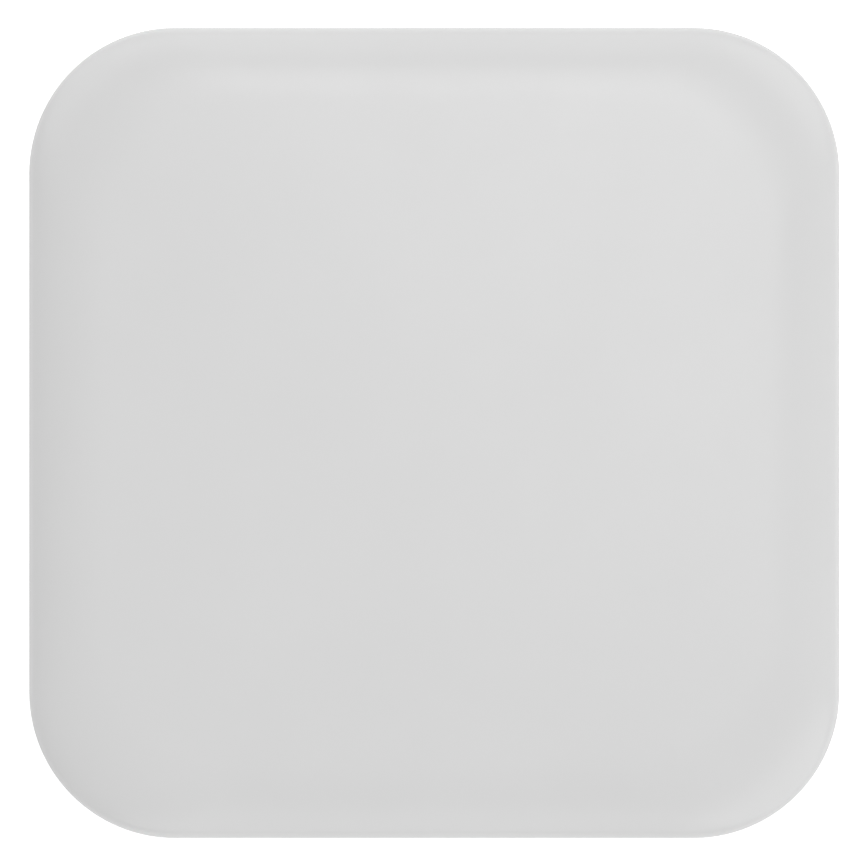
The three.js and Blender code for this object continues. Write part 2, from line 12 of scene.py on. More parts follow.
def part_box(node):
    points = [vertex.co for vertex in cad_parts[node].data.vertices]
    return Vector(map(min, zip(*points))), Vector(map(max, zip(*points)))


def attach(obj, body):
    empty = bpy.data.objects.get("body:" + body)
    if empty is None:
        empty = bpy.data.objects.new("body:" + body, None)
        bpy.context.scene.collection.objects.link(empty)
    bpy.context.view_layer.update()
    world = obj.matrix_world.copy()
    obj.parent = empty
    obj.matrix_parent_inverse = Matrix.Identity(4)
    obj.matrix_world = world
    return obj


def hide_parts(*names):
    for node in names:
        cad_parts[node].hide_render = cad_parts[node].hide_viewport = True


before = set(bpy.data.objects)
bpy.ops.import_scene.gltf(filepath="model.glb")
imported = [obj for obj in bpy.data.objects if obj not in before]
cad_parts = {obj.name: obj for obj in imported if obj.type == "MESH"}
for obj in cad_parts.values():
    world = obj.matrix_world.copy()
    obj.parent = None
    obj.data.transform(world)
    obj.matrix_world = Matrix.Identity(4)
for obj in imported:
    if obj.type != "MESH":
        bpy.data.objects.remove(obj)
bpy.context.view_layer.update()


def mm(*lengths):
    """Millimetres in metres: one number, or a tuple of them."""
    return lengths[0] / 1000 if len(lengths) == 1 else tuple(length / 1000 for length in lengths)


# ---- sizes, from the frame

LID_LOW, LID_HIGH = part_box("top_cover")
BASE_LOW, BASE_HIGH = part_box("base_cover")
BOARD_LOW, BOARD_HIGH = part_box("main_board")
CORNERS = ("front_left", "front_right", "rear_left", "rear_right")

HALF = LID_HIGH.x  # half the footprint's side
CORNER_SHARE = 0.36  # corner radius as a share of half the side
PARTING_GAP = mm(0.2)
LID_Z = BASE_HIGH.z + PARTING_GAP  # the lid's lower edge
TOP_Z = LID_HIGH.z

# The lid's outside rolls over from its edge and then rises gently to the middle.
ROLL_WIDTH = mm(9)
ROLL_HEIGHT = mm(3.3)
CROWN_HEIGHT = TOP_Z - LID_Z - ROLL_HEIGHT
CROWN_POWER = 4
TUCK_WIDTH = mm(3.5)  # the base's side tucks in along a quarter of an ellipse
TUCK_HEIGHT = mm(5.6)
TUCK_TOP_Z = LID_Z - PARTING_GAP / 2

WALL = mm(1.8)
FLOOR_Z = mm(2)
CEILING_Z = mm(8.1)
TONGUE_HALF = mm(49.05)
REBATE_HALF = mm(49.15)
REBATE_Z = mm(5.2)
PIN_X, PIN_Y = 30, -20  # the base's two pins for the heat spreader, in millimetres
EDGE_ROUND = mm(0.12)  # small radius on the parting line's edges

ARC_STEPS = 28  # segments in each corner of a rounded square
SIDE_STEPS = 20  # segments along each straight side


# ---- mesh helpers


def placed(name, data):
    """A new object in the scene."""
    thing = bpy.data.objects.new(name, data)
    bpy.context.scene.collection.objects.link(thing)
    return thing


def to_mesh(bm):
    """A Blender mesh from a bmesh, with its faces turned outwards."""
    bmesh.ops.recalc_face_normals(bm, faces=bm.faces)
    mesh = bpy.data.meshes.new("mesh")
    bm.to_mesh(mesh)
    bm.free()
    return mesh


def loft(rings, closed=False):
    """A closed mesh through rings of equal length: capped at both ends, or joined end to end."""
    bm = bmesh.new()
    rows = [[bm.verts.new(point) for point in ring] for ring in rings]
    count = len(rings[0])
    following = rows[1:] + rows[:1] if closed else rows[1:]
    for lower, upper in zip(rows, following):
        for i in range(count):
            j = (i + 1) % count
            bm.faces.new((lower[i], lower[j], upper[j], upper[i]))
    if not closed:
        for row in (rows[0], rows[-1]):
            middle = bm.verts.new(sum((vert.co for vert in row), Vector()) / count)
            for i in range(count):
                bm.faces.new((row[i], row[(i + 1) % count], middle))
    return to_mesh(bm)


def full_turn(steps):
    """Evenly spaced angles all the way round."""
    return [step / steps * 2 * math.pi for step in range(steps)]


def around(radius, angle, z):
    """A point at a distance and a direction from the Z axis."""
    return Vector((radius * math.cos(angle), radius * math.sin(angle), z))


def circle(radius, z, steps):
    return [around(radius, angle, z) for angle in full_turn(steps)]


def turned(profile, steps=64):
    """A solid of revolution from a profile of (radius, z) pairs, in millimetres."""
    return loft([circle(mm(max(radius, 0.01)), mm(z), steps) for radius, z in profile])


def block(low, high, bevel=0.0):
    """A box between two corners, in metres, with its edges rounded."""
    bm = bmesh.new()
    bmesh.ops.create_cube(bm, size=1)
    low, high = Vector(low), Vector(high)
    for vert in bm.verts:
        vert.co = Vector(low[i] + (vert.co[i] + 0.5) * (high[i] - low[i]) for i in range(3))
    if bevel:
        bmesh.ops.bevel(bm, geom=bm.edges, offset=bevel, segments=3, profile=0.5, affect="EDGES")
    return to_mesh(bm)


def moved(mesh, x=0.0, y=0.0, z=0.0, turn=None):
    """The mesh, turned by a matrix if there is one and then shifted."""
    if turn is not None:
        mesh.transform(turn)
    mesh.transform(Matrix.Translation((x, y, z)))
    return mesh


def copies(profile, places, steps=64):
    """The same solid of revolution at each of some places in plan."""
    return [moved(turned(profile, steps), x, y) for x, y in places]


def joined(meshes):
    """Separate solids as one mesh. Each keeps its faces' material numbers."""
    bm = bmesh.new()
    for mesh in meshes:
        bm.from_mesh(mesh)
    mesh = bpy.data.meshes.new("mesh")
    bm.to_mesh(mesh)
    bm.free()
    return mesh


def boolean(mesh, parts, operation):
    """The mesh after an exact boolean with each part in turn."""
    host = placed("host", mesh)
    helpers = [host]
    for part in parts:
        helper = placed("part", part)
        helpers.append(helper)
        modifier = host.modifiers.new("boolean", "BOOLEAN")
        modifier.operation = operation
        modifier.solver = "EXACT"
        modifier.object = helper
    graph = bpy.context.evaluated_depsgraph_get()
    result = bpy.data.meshes.new_from_object(host.evaluated_get(graph))
    for helper in helpers:
        bpy.data.objects.remove(helper)
    return result


def make_piece(name, mesh, materials, cad_nodes=(), smooth_angle=35):
    """A shown object from a mesh, riding on the frame, in place of the CAD nodes it stands for."""
    piece = placed(name, mesh)
    mesh.name = name
    for material in materials if isinstance(materials, (list, tuple)) else [materials]:
        mesh.materials.append(material)
    mesh.polygons.foreach_set("use_smooth", [True] * len(mesh.polygons))
    mesh.set_sharp_from_angle(angle=math.radians(smooth_angle))
    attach(piece, "root")
    if cad_nodes:
        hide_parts(*cad_nodes)


def corner_points(node_pattern):
    """The middle of a CAD node in plan, by the corner of the pad that it is at."""
    places = {}
    for corner in CORNERS:
        low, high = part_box(node_pattern.format(corner))
        places[corner] = ((low.x + high.x) / 2, (low.y + high.y) / 2)
    return places


COVER_SCREWS = corner_points("cover_screw_{}")
BOARD_SCREWS = corner_points("board_screw_{}")


# ---- finishes

NOISE_LOW, NOISE_HIGH = 0.3, 0.7  # most of a noise texture lies between these


def set_inputs(node, inputs):
    """Sets a node's sockets by name. An underscore stands for a space."""
    for name, value in inputs.items():
        node.inputs[name.replace("_", " ")].default_value = value


class Finish:
    """A Principled material built up from procedural layers, which lie in the object's own space."""

    def __init__(self, name, colour, roughness, metallic=0.0, **sockets):
        self.material = bpy.data.materials.new(name)
        self.material.use_nodes = True
        self.nodes = self.material.node_tree.nodes
        self.link = self.material.node_tree.links.new
        self.shader = self.nodes["Principled BSDF"]
        looks = {"Base_Color": (*colour, 1), "Roughness": roughness, "Metallic": metallic}
        set_inputs(self.shader, {**looks, **sockets})
        self.space = self.add("TexCoord").outputs["Object"]
        self.normal = None

    def add(self, kind, **inputs):
        """A new shader node with some of its sockets set."""
        node = self.nodes.new("ShaderNode" + kind)
        set_inputs(node, inputs)
        return node

    def stretched(self, stretch, turn=(0, 0, 0)):
        """Texture space squeezed by a factor along each axis."""
        mapping = self.add("Mapping", Scale=stretch, Rotation=turn)
        self.link(self.space, mapping.inputs["Vector"])
        return mapping.outputs["Vector"]

    def noise(self, feature, detail=2.0, space=None):
        """Noise whose features are about that many millimetres across."""
        node = self.add("TexNoise", Scale=1 / mm(feature), Detail=detail)
        self.link(space or self.space, node.inputs["Vector"])
        return node.outputs["Fac"]

    def cells(self, feature):
        """Distance to the middle of cells of about that many millimetres."""
        node = self.add("TexVoronoi", Scale=1 / mm(feature))
        self.link(self.space, node.inputs["Vector"])
        return node.outputs["Distance"]

    def colour(self, factor, low, high, start=NOISE_LOW, end=NOISE_HIGH):
        """Colour that goes from low to high as the factor does."""
        ramp = self.add("ValToRGB")
        for element, position, tone in zip(ramp.color_ramp.elements, (start, end), (low, high)):
            element.position = position
            element.color = (*tone, 1)
        self.link(factor, ramp.inputs["Fac"])
        self.link(ramp.outputs["Color"], self.shader.inputs["Base Color"])
        return self

    def rough(self, factor, low, high):
        """Roughness that goes from low to high as the factor does."""
        limits = {"From_Min": NOISE_LOW, "From_Max": NOISE_HIGH, "To_Min": low, "To_Max": high}
        spread = self.add("MapRange", **limits)
        self.link(factor, spread.inputs["Value"])
        self.link(spread.outputs["Result"], self.shader.inputs["Roughness"])
        return self

    def bump(self, factor, depth):
        """Relief of a depth in millimetres, on top of any relief that is there."""
        node = self.add("Bump", Distance=mm(depth))
        self.link(factor, node.inputs["Height"])
        if self.normal:
            self.link(self.normal, node.inputs["Normal"])
        self.normal = node.outputs["Normal"]
        self.link(self.normal, self.shader.inputs["Normal"])
        return self


def shell_finish():
    """Satin off-white plastic: fine tool grain, and slight changes of tone and gloss."""
    finish = Finish("shell_plastic", (0.8, 0.8, 0.8), 0.25)
    finish.colour(finish.noise(14, 3), (0.795, 0.795, 0.795), (0.805, 0.805, 0.805))
    finish.rough(finish.noise(5, 4), 0.235, 0.265)
    finish.bump(finish.noise(0.12, 2), 0.0012)
    return finish.material


def mottled_finish(name, low, high, roughness, tone, relief, depth, **sockets):
    """Two tones and a fine relief. Both noises are given by their size and detail."""
    finish = Finish(name, low, roughness, **sockets)
    finish.colour(finish.noise(*tone), low, high)
    finish.bump(finish.noise(*relief), depth)
    return finish.material


def diffuser_finish():
    finish = Finish("light_diffuser", (0.9, 0.92, 0.93), 0.4, Transmission_Weight=0.35)
    finish.rough(finish.noise(0.3, 3), 0.35, 0.5)
    finish.bump(finish.noise(0.1, 2), 0.004)
    return finish.material


def black_moulding_finish(name, grain=0.15, shade=0.025):
    finish = Finish(name, (shade, shade, shade), 0.55)
    finish.colour(finish.noise(1.5, 4), (shade * 0.8,) * 3, (shade * 1.3,) * 3)
    finish.rough(finish.noise(0.6, 3), 0.45, 0.65)
    finish.bump(finish.cells(grain), 0.01)
    return finish.material


def metal_finish(name, low, high, roughness, grain, drawn=(1, 1, 1)):
    """Metal with fine lines or grain: drawn gives how far the pattern is squeezed along each axis."""
    finish = Finish(name, high, roughness, metallic=1.0)
    lines = finish.noise(grain, 4, finish.stretched(drawn))
    finish.colour(lines, low, high)
    finish.rough(lines, roughness * 0.8, roughness * 1.3)
    finish.bump(lines, 0.003)
    return finish.material


def board_finish():
    """Green solder mask over glass cloth, whose weave shows faintly."""
    finish = Finish("board_mask", (0.03, 0.16, 0.08), 0.35, Coat_Weight=0.3)
    finish.colour(finish.noise(6, 5), (0.022, 0.125, 0.062), (0.04, 0.19, 0.1))
    across = finish.noise(0.35, 0, finish.stretched((1, 8, 1)))
    along = finish.noise(0.35, 0, finish.stretched((8, 1, 1)))
    finish.bump(across, 0.004).bump(along, 0.004)
    return finish.material


def ceramic_finish(name, low, high):
    finish = Finish(name, low, 0.5)
    finish.colour(finish.noise(0.3, 5), low, high)
    finish.rough(finish.noise(0.5, 3), 0.4, 0.6)
    finish.bump(finish.noise(0.08, 2), 0.003)
    return finish.material


def ferrite_finish():
    finish = Finish("sintered_ferrite", (0.06, 0.06, 0.065), 0.6)
    finish.colour(finish.cells(0.5), (0.045, 0.045, 0.048), (0.085, 0.085, 0.09), 0.1, 0.8)
    finish.rough(finish.noise(1, 4), 0.45, 0.75)
    finish.bump(finish.noise(0.15, 4), 0.01)
    return finish.material


def tape_finish():
    finish = Finish("adhesive_tape", (0.8, 0.74, 0.6), 0.75)
    fibres = finish.noise(0.2, 4, finish.stretched((1, 5, 1), (0, 0, 0.5)))
    finish.colour(fibres, (0.72, 0.66, 0.52), (0.86, 0.81, 0.68))
    finish.bump(fibres, 0.01)
    return finish.material


def foam_finish():
    finish = Finish("cell_foam", (0.03, 0.03, 0.032), 0.95)
    pores = finish.cells(0.35)
    finish.colour(pores, (0.012, 0.012, 0.013), (0.05, 0.05, 0.054), 0.05, 0.6)
    finish.bump(pores, 0.08)
    return finish.material


def lens_finish():
    finish = Finish("led_lens", (0.9, 0.8, 0.45), 0.15, Transmission_Weight=0.3)
    finish.colour(finish.noise(0.2, 2), (0.85, 0.72, 0.3), (0.95, 0.85, 0.5))
    return finish.material


SHELL = shell_finish()
RUBBER = mottled_finish(
    "foot_rubber", (0.27, 0.272, 0.278), (0.34, 0.342, 0.35), 0.85, (0.8, 5), (0.25, 3), 0.02
)
DIFFUSER = diffuser_finish()
MOULDING = black_moulding_finish("black_nylon")
EPOXY = black_moulding_finish("chip_epoxy", grain=0.08, shade=0.018)
CARRIER = black_moulding_finish("carrier_plastic", grain=0.3, shade=0.03)
BOARD = board_finish()
TRACK = mottled_finish(
    "masked_copper", (0.05, 0.235, 0.115), (0.075, 0.31, 0.155), 0.32, (2, 4), (0.2, 2), 0.003,
    Coat_Weight=0.3,
)
CERAMIC = ceramic_finish("capacitor_ceramic", (0.42, 0.29, 0.17), (0.52, 0.38, 0.24))
LED_BODY = ceramic_finish("led_body", (0.82, 0.8, 0.72), (0.88, 0.86, 0.78))
FERRITE = ferrite_finish()
TAPE = tape_finish()
FOAM = foam_finish()
SILICONE = mottled_finish(
    "gap_filler", (0.3, 0.43, 0.55), (0.4, 0.53, 0.65), 0.7, (0.7, 5), (0.3, 3), 0.02, Subsurface_Weight=0.1
)
COPPER = mottled_finish(  # the twist is in the mesh, and this is the strands' own fine relief
    "litz_copper", (0.6, 0.27, 0.14), (0.8, 0.42, 0.25), 0.3, (0.4, 3), (0.06, 2), 0.004,
    metallic=0.85, Coat_Weight=0.6,
)
WIRE = black_moulding_finish("wire_jacket", grain=0.1, shade=0.03)
LENS = lens_finish()
ZINC = metal_finish("zinc_plate", (0.5, 0.51, 0.53), (0.68, 0.69, 0.7), 0.3, 0.3)
NICKEL = metal_finish("nickel_plate", (0.62, 0.61, 0.58), (0.74, 0.73, 0.7), 0.22, 0.5, (1, 0.1, 1))
TIN = metal_finish("tin", (0.66, 0.66, 0.67), (0.8, 0.8, 0.81), 0.3, 0.15)
GOLD = metal_finish("gold_plate", (0.85, 0.6, 0.25), (0.95, 0.72, 0.34), 0.22, 0.1, (1, 0.15, 1))
ALUMINIUM = metal_finish("rolled_aluminium", (0.7, 0.71, 0.72), (0.84, 0.85, 0.86), 0.32, 0.6, (0.05, 1, 1))


# ---- outer form


def quarter_turn(count, size=3):
    """A rotation by some right angles about the vertical."""
    return Matrix.Rotation(count * math.pi / 2, size, "Z")


def square_ring(half, radius, z):
    """A rounded square at height z, anticlockwise seen from above."""
    ring = []
    offset = half - radius
    for corner in range(4):
        turn = quarter_turn(corner)
        for step in range(ARC_STEPS):
            angle = step / ARC_STEPS * math.pi / 2
            point = Vector((offset + radius * math.cos(angle), offset + radius * math.sin(angle), z))
            ring.append(turn @ point)
        for step in range(SIDE_STEPS):
            ring.append(turn @ Vector((offset - 2 * offset * step / SIDE_STEPS, half, z)))
    return ring


def inner_ring(inset, z):
    """A rounded square moved in from the footprint, round the same corner centres."""
    return square_ring(HALF - inset, HALF * CORNER_SHARE - inset, z)


def lid_ring(inset, z):
    """A level curve of the lid's top. These grow rounder from the edge to the middle."""
    share = inset / HALF
    radius = (HALF - inset) * (CORNER_SHARE + (1 - CORNER_SHARE) * share)
    crown = CROWN_HEIGHT * (1 - (1 - share) ** CROWN_POWER)
    return square_ring(HALF - inset, radius, z + crown)


def flat_rings(half, z, shares):
    """Rings across a flat face, as shares of its half width."""
    return [square_ring(half * share, half * share * CORNER_SHARE, z) for share in shares]


def quarter(steps):
    """Angles from 0 to a right angle, both included."""
    return [step / steps * math.pi / 2 for step in range(steps + 1)]


def lid_shell():
    """The lid as one skin: ceiling, inner wall, tongue, edge, roll and crown."""
    inner_roll_width, inner_roll_height = mm(5.5, 1.8)
    rings = flat_rings(HALF - WALL - inner_roll_width, CEILING_Z, (0.02, 0.25, 0.5, 0.75, 0.95))
    for angle in reversed(quarter(12)):
        inset = WALL + inner_roll_width * (1 - math.cos(angle))
        rings.append(inner_ring(inset, CEILING_Z - inner_roll_height * (1 - math.sin(angle))))
    tongue_inset = HALF - TONGUE_HALF
    lip = mm(0.15)
    rings += [
        inner_ring(WALL, LID_LOW.z + lip),
        inner_ring(WALL - lip, LID_LOW.z),
        inner_ring(tongue_inset + lip, LID_LOW.z),
        inner_ring(tongue_inset, LID_LOW.z + lip),
        inner_ring(tongue_inset, LID_Z),
    ]
    for angle in quarter(3):
        inset = EDGE_ROUND * (1 - math.sin(angle))
        rings.append(inner_ring(inset, LID_Z + EDGE_ROUND * (1 - math.cos(angle))))
    first = math.asin(EDGE_ROUND / ROLL_HEIGHT)
    for angle in quarter(28)[1:]:
        angle = first + angle * (1 - first / (math.pi / 2))
        inset = ROLL_WIDTH * (1 - math.cos(angle))
        rings.append(lid_ring(inset, LID_Z + ROLL_HEIGHT * math.sin(angle)))
    crown_steps = 36
    for step in range(1, crown_steps):
        inset = ROLL_WIDTH + (HALF - ROLL_WIDTH) * step / crown_steps
        rings.append(lid_ring(inset, LID_Z + ROLL_HEIGHT))
    return loft(rings)


def tuck(z):
    """How far the base's side is in from the footprint's edge at a height."""
    share = min(1, (TUCK_TOP_Z - z) / TUCK_HEIGHT)
    return TUCK_WIDTH * (1 - math.sqrt(1 - share**2))


def base_shell():
    """The base as one skin: underside, rounded heel, tucked side, edge, rebate, wall and floor."""
    rings = flat_rings(HALF - tuck(BASE_LOW.z), BASE_LOW.z, (0.02, 0.2, 0.4, 0.6, 0.8, 0.95))
    heel = mm(0.5)
    for angle in quarter(6):
        z = BASE_LOW.z + heel * (1 - math.cos(angle))
        rings.append(inner_ring(tuck(z) + heel * 0.6 * (1 - math.sin(angle)), z))
    side_steps = 18
    low, high = BASE_LOW.z + heel, BASE_HIGH.z - EDGE_ROUND
    for step in range(1, side_steps + 1):
        z = low + (high - low) * step / side_steps
        rings.append(inner_ring(tuck(z), z))
    rings += [
        inner_ring(EDGE_ROUND * 0.3, BASE_HIGH.z - EDGE_ROUND * 0.3),
        inner_ring(EDGE_ROUND, BASE_HIGH.z),
        inner_ring(HALF - REBATE_HALF, BASE_HIGH.z),
        inner_ring(HALF - REBATE_HALF, REBATE_Z),
        inner_ring(WALL, REBATE_Z),
    ]
    rings += [inner_ring(WALL + tuck(z), z) for z in mm(3.8, 2.8, 2.4)]
    rings += [inner_ring(WALL + tuck(FLOOR_Z) + mm(0.4), FLOOR_Z)]
    rings += flat_rings(HALF - WALL - tuck(FLOOR_Z), FLOOR_Z, (0.9, 0.6, 0.3, 0.02))
    return loft(rings)


def stadium(width, height):
    """A slot with round ends in the XZ plane, as (x, z) pairs in metres, anticlockwise."""
    steps = 12  # segments round each end
    radius = height / 2
    reach = width / 2 - radius
    points = []
    for side, start in ((1, -math.pi / 2), (-1, math.pi / 2)):
        for step in range(steps + 1):
            angle = start + step / steps * math.pi
            points.append((side * reach + radius * math.cos(angle), radius * math.sin(angle)))
    return points


def slot_ring(width, height, y, z, grow=0.0):
    """A stadium outline standing at y, its middle at height z, larger all round by grow."""
    return [Vector((px, y, z + pz)) for px, pz in stadium(width + 2 * grow, height + 2 * grow)]


# The openings in the base's wall, and what they hold.
PORT_LOW, PORT_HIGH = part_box("usb_c_shell")
LIGHT_LOW, LIGHT_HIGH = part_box("light_pipe")
USB_WIDTH, USB_HEIGHT = mm(8.94, 3.26)
USB_METAL = mm(0.3)
USB_Z = (PORT_LOW.z + PORT_HIGH.z) / 2
WING_REACH = mm(6)  # how far the sleeve's mounting wings reach to either side
WING_BACK, WING_FRONT = PORT_HIGH.y - mm(6.6), PORT_HIGH.y - mm(3.2)
LIGHT_WIDTH, LIGHT_HEIGHT = mm(3.2, 0.9)
LIGHT_Z = (LIGHT_LOW.z + LIGHT_HIGH.z) / 2


def port_cutter():
    """The port's opening, flared a little at its mouth."""
    clearance, flare = mm(0.2, 0.22)
    mouth = HALF - tuck(USB_Z - USB_HEIGHT / 2)
    return loft([
        slot_ring(USB_WIDTH, USB_HEIGHT, HALF - mm(4), USB_Z, clearance),
        slot_ring(USB_WIDTH, USB_HEIGHT, mouth - flare, USB_Z, clearance),
        slot_ring(USB_WIDTH, USB_HEIGHT, HALF + mm(0.4), USB_Z, clearance + flare),
    ])


def light_cutter():
    clearance = mm(0.1)
    return loft([
        slot_ring(LIGHT_WIDTH, LIGHT_HEIGHT, y, LIGHT_Z, clearance) for y in (-HALF - mm(1), mm(4) - HALF)
    ])


def make_lid():
    """The lid with its screw bosses. Its tongue is left out above the port and above the light bar."""
    boss = [(0, 7.6), (1.1, 7.6), (1.1, 4.9), (1.25, 4.7), (2.65, 4.7), (2.8, 4.85), (2.8, 8.5), (0, 8.5)]
    bosses = copies(boss, COVER_SCREWS.values())
    port_half, light_half, depth, low = mm(6, 3.4, 3, 4)
    high = LID_Z - mm(0.1)
    notches = [
        block((-port_half, HALF - depth, low), (port_half, HALF, high)),
        block((-light_half, -HALF, low), (light_half, depth - HALF, high)),
    ]
    mesh = boolean(lid_shell(), [joined(bosses)], "UNION")
    mesh = boolean(mesh, [joined(notches)], "DIFFERENCE")
    make_piece("lid", mesh, SHELL, ["top_cover"])


def make_base():
    """The base with its bosses and pins, foot recesses, openings and a shallow panel underneath."""
    cover_at, board_at = COVER_SCREWS.values(), BOARD_SCREWS.values()
    pins_at = [mm(side * PIN_X, PIN_Y) for side in (-1, 1)]
    towers = copies([(0, 1.5), (3.7, 1.5), (3.7, 4.5), (3.55, 4.65), (0, 4.65)], cover_at)
    towers += copies([(0, 1.5), (2.3, 1.5), (2.3, 3.15), (0, 3.15)], board_at, 40)
    towers += copies([(0, 1.5), (1, 1.5), (1, 2.7), (0.85, 2.85), (0, 2.85)], pins_at, 32)
    bore = [(0, -1), (6.15, -1), (6.15, 1.4), (2.35, 1.4), (2.35, 3.15), (1.2, 3.15), (1.2, 5.6), (0, 5.6)]
    bores = copies(bore, cover_at) + copies([(0, 1.3), (0.9, 1.3), (0.9, 4.1), (0, 4.1)], board_at, 32)
    panel_half = Vector(mm(22, 9, 0))
    panel = block(-panel_half + Vector(mm(0, 0, 0.5)), panel_half + Vector(mm(0, 0, 0.95)))
    mesh = boolean(base_shell(), [joined(towers)], "UNION")
    mesh = boolean(mesh, [joined([*bores, port_cutter(), light_cutter(), panel])], "DIFFERENCE")
    make_piece("base", mesh, SHELL, ["base_cover"])


def make_feet():
    """Rubber feet with two shallow grooves in the sole."""
    profile = [
        (0, 0.05), (1.2, 0.05), (1.3, 0), (2.5, 0), (2.6, 0.12), (2.9, 0.12), (3.0, 0), (4.1, 0), (4.2, 0.12),
        (4.5, 0.12), (4.6, 0), (5.55, 0), (5.75, 0.04), (5.9, 0.13), (5.98, 0.28), (6, 0.45), (6, 1.25),
        (5.9, 1.35), (0, 1.35),
    ]
    for corner, (x, y) in corner_points("foot_{}").items():
        node = f"foot_{corner}"
        make_piece(f"rubber_{node}", moved(turned(profile, 96), x, y), RUBBER, [node])


def make_light_bar():
    """The frosted bar in the front wall, rounded at its face, with its flange inside."""
    front, back = LIGHT_LOW.y, LIGHT_HIGH.y
    flange_y = back - mm(0.75)
    grow_x, grow_z = mm(0.9, 0.25)
    face_round = mm(0.08)
    rings = []
    for angle in reversed(quarter(4)):
        y = front + face_round * (1 - math.sin(angle))
        rings.append(slot_ring(LIGHT_WIDTH, LIGHT_HEIGHT, y, LIGHT_Z, -face_round * (1 - math.cos(angle))))
    rings.append(slot_ring(LIGHT_WIDTH, LIGHT_HEIGHT, flange_y, LIGHT_Z))
    wide, tall = LIGHT_WIDTH + 2 * grow_x, LIGHT_HEIGHT + 2 * grow_z
    rings += [slot_ring(wide, tall, y, LIGHT_Z) for y in (flange_y + mm(0.01), back)]
    make_piece("light_bar", loft(rings), DIFFUSER, ["light_pipe"])


# ---- the USB-C receptacle


def make_usb_sleeve():
    """The drawn steel sleeve with a rounded lip, its mounting wings and two latch windows."""
    back, front = PORT_LOW.y, PORT_HIGH.y
    lip, lip_steps = USB_METAL / 2, 8
    stations = (back, front - mm(3), front - lip)
    rings = [slot_ring(USB_WIDTH, USB_HEIGHT, y, USB_Z) for y in stations]
    for step in range(1, lip_steps):
        angle = step / lip_steps * math.pi
        grow = -lip * (1 - math.cos(angle))
        rings.append(slot_ring(USB_WIDTH, USB_HEIGHT, front - lip + lip * math.sin(angle), USB_Z, grow))
    rings += [slot_ring(USB_WIDTH, USB_HEIGHT, y, USB_Z, -USB_METAL) for y in reversed(stations)]
    sleeve = loft(rings, closed=True)
    low, high = BOARD_HIGH.z + mm(0.05), BOARD_HIGH.z + mm(0.05) + USB_METAL
    wings = []
    for side in (-1, 1):
        near, far = sorted((side * (USB_WIDTH / 2 - USB_METAL / 2), side * WING_REACH))
        wings.append(block((near, WING_BACK, low), (far, WING_FRONT, high), mm(0.04)))
    windows = []
    for x in mm(-2.6, 2.6):
        low = (x - mm(0.45), front - mm(4.6), USB_Z)
        windows.append(block(low, (x + mm(0.45), front - mm(3.1), USB_Z + mm(3))))
    mesh = boolean(sleeve, [joined(wings)], "UNION")
    mesh = boolean(mesh, [joined(windows)], "DIFFERENCE")
    make_piece("usb_sleeve", mesh, NICKEL, ["usb_c_shell"])


def make_usb_core():
    """The moulded core with its tongue, and the rows of contacts on both of the tongue's faces."""
    back, front = PORT_LOW.y, PORT_HIGH.y
    block_end = back + mm(1.7)
    inside = -USB_METAL - mm(0.05)
    core = loft([slot_ring(USB_WIDTH, USB_HEIGHT, y, USB_Z, inside) for y in (back + mm(0.1), block_end)])
    half_width, half_height = mm(3.34, 0.35)
    low = (-half_width, back + mm(1.5), USB_Z - half_height)
    tongue = block(low, (half_width, front - mm(0.6), USB_Z + half_height), mm(0.12))
    make_piece("usb_tongue", boolean(core, [tongue], "UNION"), MOULDING, ["usb_c_core"])
    contacts = []
    for face in (-1, 1):
        low, high = sorted(mm(face * 0.34, face * 0.38))
        for pin in range(12):
            x = (pin - 5.5) * mm(0.5)
            length = mm(4.4) if pin in (0, 3, 8, 11) else mm(4.0)  # power and ground reach further forward
            near = (x - mm(0.125), block_end, USB_Z + low)
            contacts.append(block(near, (x + mm(0.125), block_end + length, USB_Z + high), mm(0.012)))
    make_piece("usb_contacts", joined(contacts), GOLD)


# ---- screws


def screw_mesh(head_radius, head_height, shank_radius, length):
    """A pan-head screw, head down, with its seat at the origin: cross recess and cut thread."""
    steps, rows_per_pitch = 32, 8
    head = [(0.7, 1), (0.85, 0.94), (0.95, 0.8), (1, 0.6), (1, 0.06), (0.96, 0)]  # shares of its size
    rings = [circle(mm(head_radius * share), -mm(head_height * depth), steps) for share, depth in head]
    pitch, thread_depth = 0.35 * shank_radius + 0.15, 0.22 * shank_radius
    rows = round(length / pitch * rows_per_pitch)
    for row in range(rows + 1):
        z = length * row / rows
        taper = min(1, (length - z) / shank_radius + 0.15)  # to a blunt point
        ring = []
        for step in range(steps):
            turn = step / steps
            ridge = abs((z / pitch - turn) % 1 - 0.5) * 2
            cut = thread_depth * (1 - ridge) * min(1, z / pitch)
            ring.append(around(mm((shank_radius - cut) * taper), turn * 2 * math.pi, mm(z)))
        rings.append(ring)
    reach, slit = mm(head_radius * 0.52), mm(head_radius * 0.13)
    foot, top = -mm(head_height) - mm(0.3), -mm(head_height * 0.4)
    arms = []
    for wide, narrow in ((reach, slit), (slit, reach)):
        outline = [(-wide, -narrow), (wide, -narrow), (wide, narrow), (-wide, narrow)]
        ends = ((1.15, foot), (0.6, top))
        arms.append(loft([[Vector((x * scale, y * scale, z)) for x, y in outline] for scale, z in ends]))
    return boolean(loft(rings), arms, "DIFFERENCE")


def make_screws():
    """The lid's screws with their heads down, and the board's with their heads up."""
    head_up = Matrix.Rotation(math.pi, 4, "X")
    cover, board = screw_mesh(2.1, 1.4, 1, 4.2), screw_mesh(1.8, 1.2, 0.8, 2.7)
    for corner, (x, y) in COVER_SCREWS.items():
        node = f"cover_screw_{corner}"
        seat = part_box(node)[0].z + mm(1.4)
        make_piece(f"cross_{node}", moved(cover.copy(), x, y, seat), ZINC, [node])
    for corner, (x, y) in BOARD_SCREWS.items():
        node = f"board_screw_{corner}"
        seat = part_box(node)[1].z - mm(1.2)
        make_piece(f"cross_{node}", moved(board.copy(), x, y, seat, head_up), ZINC, [node])


